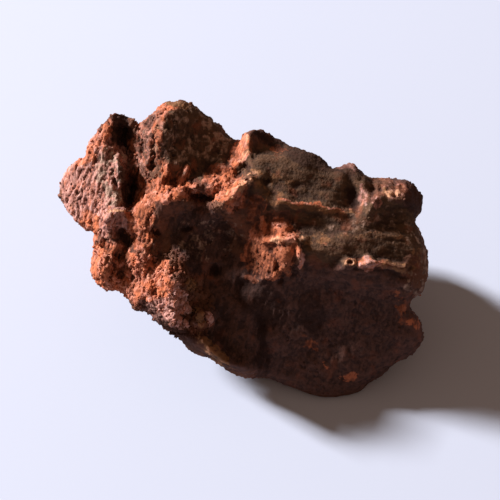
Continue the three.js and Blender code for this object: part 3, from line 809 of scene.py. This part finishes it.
def stoneMaterial():
    shader = Shader("iron-stained-stone")
    turn = (lean - math.pi / 2, 0, math.radians(skin["streakLean"]))
    metres = shader.node("ShaderNodeTexCoord", output=3)  # Object
    sockets = {"Vector": metres, "Rotation": turn, "Scale": (1 / mm,) * 3}
    place = shader.node("ShaderNodeMapping", sockets=sockets)  # in mm, with y along the streaks

    def cloud(size, seed, detail=2, where=place):
        sockets = {"Vector": where, "W": seed, "Scale": 1 / size, "Detail": detail, "Roughness": 0.6}
        return shader.node("ShaderNodeTexNoise", {"noise_dimensions": "4D"}, sockets)

    def streaks(size, seed):
        sockets = {"Vector": place, "Scale": tuple(1 / each for each in size)}
        return cloud(1, seed, detail=3, where=shader.node("ShaderNodeMapping", sockets=sockets))

    def cells(size, output):
        sockets = {"Vector": place, "Scale": 1 / size}
        return shader.node("ShaderNodeTexVoronoi", sockets=sockets, output=output)

    def pattern(name):
        size, seed, span = (stone[name][key] for key in ("size", "seed", "span"))
        return shader.spot(streaks(size, seed) if isinstance(size, tuple) else cloud(size, seed), *span)

    def laid(below, name, paint):
        return shader.mix(pattern(name) * stone[name]["strength"], below, stone[paint])

    mottle, upright, level = pattern("mottle"), pattern("upright"), pattern("level")
    fine = cloud(0.8, seed=6, detail=3)
    ownTone = shader.node("ShaderNodeSeparateColor", sockets={"Color": cells(stone["specks"], "Color")})
    speck = shader.spot(ownTone, 0.15, 0.85)
    gap = shader.attribute("gap")
    # painted light and shade: 1 on the grain tops, 0 deep in the gaps between them
    top = shader.spot(gap, 0.62, 0.3)

    # the bare rock, then the patches of other stone on it, each paler on the tops of its grains and darker
    # between them, as painted light and shade
    tone = shader.mix(mottle * stone["mottle"]["strength"], stone["darkRust"], stone["rust"])
    tone = laid(tone, "patches", "brown")
    crustPale = laid(laid(stone["orange"], "pinks", "paleMauve"), "creams", "cream")
    lobePale = laid(laid(stone["paleMauve"], "rusts", "orange"), "dusts", "tan")
    lobePale = laid(lobePale, "frosts", "lilac")
    edge = (mottle - 0.5) * 0.7 + (speck - 0.5) * 0.3
    for name, low, high, grown in (
        ("darkStoneAndShade", stone["plum"], stone["palePlum"], speck),
        ("olive", stone["olive"], stone["ochre"], level),
        ("mauve", stone["mauve"], lobePale, upright),
        ("orange", stone["redOrange"], crustPale, upright),
        ("rusty", stone["rusty"], stone["paleRusty"], upright),
        ("grey", stone["grey"], stone["paleGrey"], upright),
        ("tan", stone["ochre"], stone["tan"], speck),
        ("cream", stone["creamShade"], stone["cream"], upright),
    ):
        inside = shader.spot(shader.attribute(name) * 1.3 + edge, 0.5, 1.05)
        tone = shader.mix(inside, tone, shader.mix(top * 0.5 + grown * 0.5, low, high))

    # stains, red flecks, then painted shade: on the places marked as shaded, in the gaps and in the dips;
    # on the back the marked places are scattered dark patches
    stains = stone["stains"]
    stained = pattern("stains") * (stains["strength"] - shader.attribute("darkStoneAndShade") * stains["lessInDark"])
    tone = shader.mix(stained, tone, stone["stain"])
    red = shader.attribute("red") * 1.2 + (speck - 0.5) * 0.6 + (mottle - 0.5) * 0.6
    tone = shader.mix(shader.spot(red, 0.6, 1.3) * stone["redFlecks"], tone, stone["orange"])
    paintedShadeAndDarkSpots = shader.spot(shader.attribute("paintedShadeAndDarkSpots") + (mottle - 0.5) * 0.5, 0.2, 1.1)
    for shade in (
        paintedShadeAndDarkSpots * stone["deepShade"],
        shader.spot(gap, 0.5, 0.95) * stone["gapShade"],
        shader.spot(shader.attribute("dip"), 0.5, 0.95) * stone["dipShade"],
    ):
        tone = shader.mix(shade, tone, stone["hollow"])
    lightness = 0.75 + fine * 0.5
    even = shader.node("ShaderNodeCombineColor", sockets={each: lightness for each in range(3)})
    shader.give("Base Color", shader.mix(1.0, tone, even, "MULTIPLY"))
    shader.give("Roughness", stone["dullness"] + fine * 0.25)
    shader.give("Specular IOR Level", stone["gloss"])

    height = cloud(0.5, seed=9, detail=4) + cells(0.7, "Distance") * 0.6
    sockets = {"Height": height, "Strength": stone["bump"], "Distance": stone["bumpDepth"] * mm}
    shader.give("Normal", shader.node("ShaderNodeBump", sockets=sockets))
    return shader.material


# Makes the mesh even, in four-sided faces, and takes off its edges.
def evened(piece, voxel, rounds):
    modify(piece, "REMESH", mode="VOXEL", voxel_size=voxel * mm)
    modify(piece, "SMOOTH", factor=0.5, iterations=rounds)


def makeSkin():
    piece = mergedRock()
    evened(piece, skin["roughVoxel"], skin["facetSmoothing"])
    carve(piece)
    print("forms carved")
    evened(piece, skin["voxel"], skin["carveSmoothing"])
    roughen(piece)
    print("crust laid")
    share = skin["triangles"] / (2 * len(piece.data.polygons))  # two triangles to a face
    if share < 1:
        modify(piece, "DECIMATE", ratio=share)
    colourIn(piece)
    piece.data.materials.append(stoneMaterial())
    for polygon in piece.data.polygons:
        polygon.use_smooth = True
    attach(piece, "root")
    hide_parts("rock")
    print("skin:", len(piece.data.polygons), "faces")
    return piece


grains = {
    "count": 2200,
    "seed": 11,
    "small": 0.22,  # mm, half a grain's width
    "large": 0.7,
    "smallness": 3,  # higher leaves fewer large ones
    "coarser": 0.9,  # how much wider they are in the gravel, at most
    "sunk": 0.2,  # how far below the surface a grain's middle lies, in half-widths
    "uneven": 0.25,
    "squash": (0.7, 1.3),
    "inCrust": 0.1,  # chances, against 1 in the places below
    "anywhere": 0.006,
    "inGravel": 0.5,
    "clusterSize": 3,  # mm
    "betweenClusters": 0.1,
    "lowest": 2,  # mm above the floor
    "paintedTopLight": 0.3,
}

# Where there are grains, and where they are coarse.
grainPlaces = [
    {"at": (-21, -9.5), "size": (9.5, 8)},
    {"at": (-33, -5), "size": (4, 4.5), "share": 0.4},
    {"at": (-14, -16), "size": (6, 6)},
]
gravelPlaces = [
    {"at": (-13, -14.5), "size": (5.5, 5)},
]


def grainShape():
    bm = bmesh.new()
    bmesh.ops.create_icosphere(bm, subdivisions=1, radius=1)
    corners = np.array([corner.co[:] for corner in bm.verts])
    sides = np.array([[corner.index for corner in side.verts] for side in bm.faces])
    bm.free()
    return corners, sides


# Loose grains caught in the crust, each sunk a little into the skin.
def makeGrains(rockSkin):
    points, facing = surfaceOf(rockSkin.data)
    face, u, v, shown = onShowFace(points, facing, skin["patchWander"])
    crust = insideOf(crustPlaces, u, v) * shown
    grainy = insideOf(grainPlaces, u, v) * shown
    gravel = insideOf(gravelPlaces, u, v) * shown
    crowded = smoothStep(-0.25, 0.3, noiseField(face, grains["clusterSize"], octaves=2, shift=41))
    chance = grainy + grains["inCrust"] * crust + grains["anywhere"]
    between = grains["betweenClusters"]
    chance = chance * (between + (1 - between) * crowded) + grains["inGravel"] * gravel
    chance = chance * (points[:, 2] > grains["lowest"] * mm)

    random = np.random.default_rng(grains["seed"])
    count = grains["count"]
    chosen = random.choice(len(points), count, replace=False, p=chance / chance.sum())
    corners, sides = grainShape()
    each = len(corners)
    size = random.random(count) ** grains["smallness"]
    size = grains["small"] + (grains["large"] - grains["small"]) * size
    size *= 1 + grains["coarser"] * gravel[chosen] * random.random(count)
    turns, _ = np.linalg.qr(random.normal(size=(count, 3, 3)))
    dents = random.normal(size=(count, each, 1)).clip(-1.5, 1.5)
    shapes = corners * (1 + grains["uneven"] * dents)
    shapes = shapes * random.uniform(*grains["squash"], (count, 1, 3)) @ turns * size[:, None, None]
    middles = points[chosen] / mm - facing[chosen] * (grains["sunk"] * size)[:, None]
    places = (middles[:, None] + shapes) * mm
    places[:, :, 2] = np.maximum(places[:, :, 2], 0)

    mesh = bpy.data.meshes.new("rock-grains")
    allSides = sides[None] + each * np.arange(count)[:, None, None]
    mesh.from_pydata(places.reshape(-1, 3).tolist(), [], allSides.reshape(-1, 3).tolist())
    bm = bmesh.new()
    bm.from_mesh(mesh)
    bmesh.ops.recalc_face_normals(bm, faces=bm.faces)
    bm.to_mesh(mesh)
    bm.free()

    # each grain has the colours of the skin it sits on, with painted light where it stands out and painted
    # shade where it is sunk
    for name in [*colourPlaces, "dip"]:
        values = np.empty(len(points), np.float32)
        rockSkin.data.attributes[name].data.foreach_get("value", values)
        setAttribute(mesh, name, np.repeat(values[chosen], each))
    outward = (shapes @ facing[chosen][:, :, None])[:, :, 0] / size[:, None]
    setAttribute(mesh, "gap", (0.5 - grains["paintedTopLight"] * outward).ravel().clip(0, 1))
    mesh.materials.append(rockSkin.data.materials[0])
    piece = linked("rock-grains", mesh)
    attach(piece, "root")
    print("grains:", count)


studio = {
    "floorSide": 3.0,
    "floorColour": colour(0.42, 0.448, 0.55),
    "floorRoughness": 0.9,
    "keyFrom": (-0.81, 0.36, 0.47),
    "keyAway": 3.2,
    "keySide": 0.4,
    "keyPower": 345,
    "fillColour": colour(1.0, 0.68, 0.49),
    "fill": 0.27,
}


def makeFloor():
    bm = bmesh.new()
    bmesh.ops.create_grid(bm, x_segments=1, y_segments=1, size=studio["floorSide"] / 2)
    mesh = bpy.data.meshes.new("floor")
    bm.to_mesh(mesh)
    bm.free()
    shader = Shader("pale-floor")
    shader.give("Base Color", studio["floorColour"])
    shader.give("Roughness", studio["floorRoughness"])
    mesh.materials.append(shader.material)
    linked("floor", mesh)


def makeLights():
    light = bpy.data.lights.new("key", "AREA")
    light.shape, light.size, light.energy = "SQUARE", studio["keySide"], studio["keyPower"]
    lamp = linked("key", light)
    direction = Vector(studio["keyFrom"]).normalized()
    lamp.location = boxMiddle + direction * studio["keyAway"]
    lamp.rotation_euler = direction.to_track_quat("Z", "Y").to_euler()
    world = bpy.data.worlds.new("room")
    bpy.context.scene.world = world
    world.use_nodes = True
    background = world.node_tree.nodes["Background"]
    background.inputs["Color"].default_value = studio["fillColour"]
    background.inputs["Strength"].default_value = studio["fill"]


view = {
    "elevation": 55,  # degrees
    "lens": 180,
    "away": 0.625,
    "aim": (0.00191, -0.00233, -0.00163),  # from the middle of the box
}


def makeCamera():
    data = bpy.data.cameras.new("camera")
    data.lens = view["lens"]
    data.clip_start, data.clip_end = 0.01, 10
    camera = linked("camera", data)
    tilt = math.radians(view["elevation"])
    back = Vector((0, -math.cos(tilt), math.sin(tilt)))
    camera.location = boxMiddle + Vector(view["aim"]) + back * view["away"]
    camera.rotation_euler = back.to_track_quat("Z", "Y").to_euler()
    bpy.context.scene.camera = camera
    bpy.context.scene.view_settings.view_transform = "Standard"


makeGrains(makeSkin())
makeFloor()
makeLights()
makeCamera()
print("floor, light and camera set")
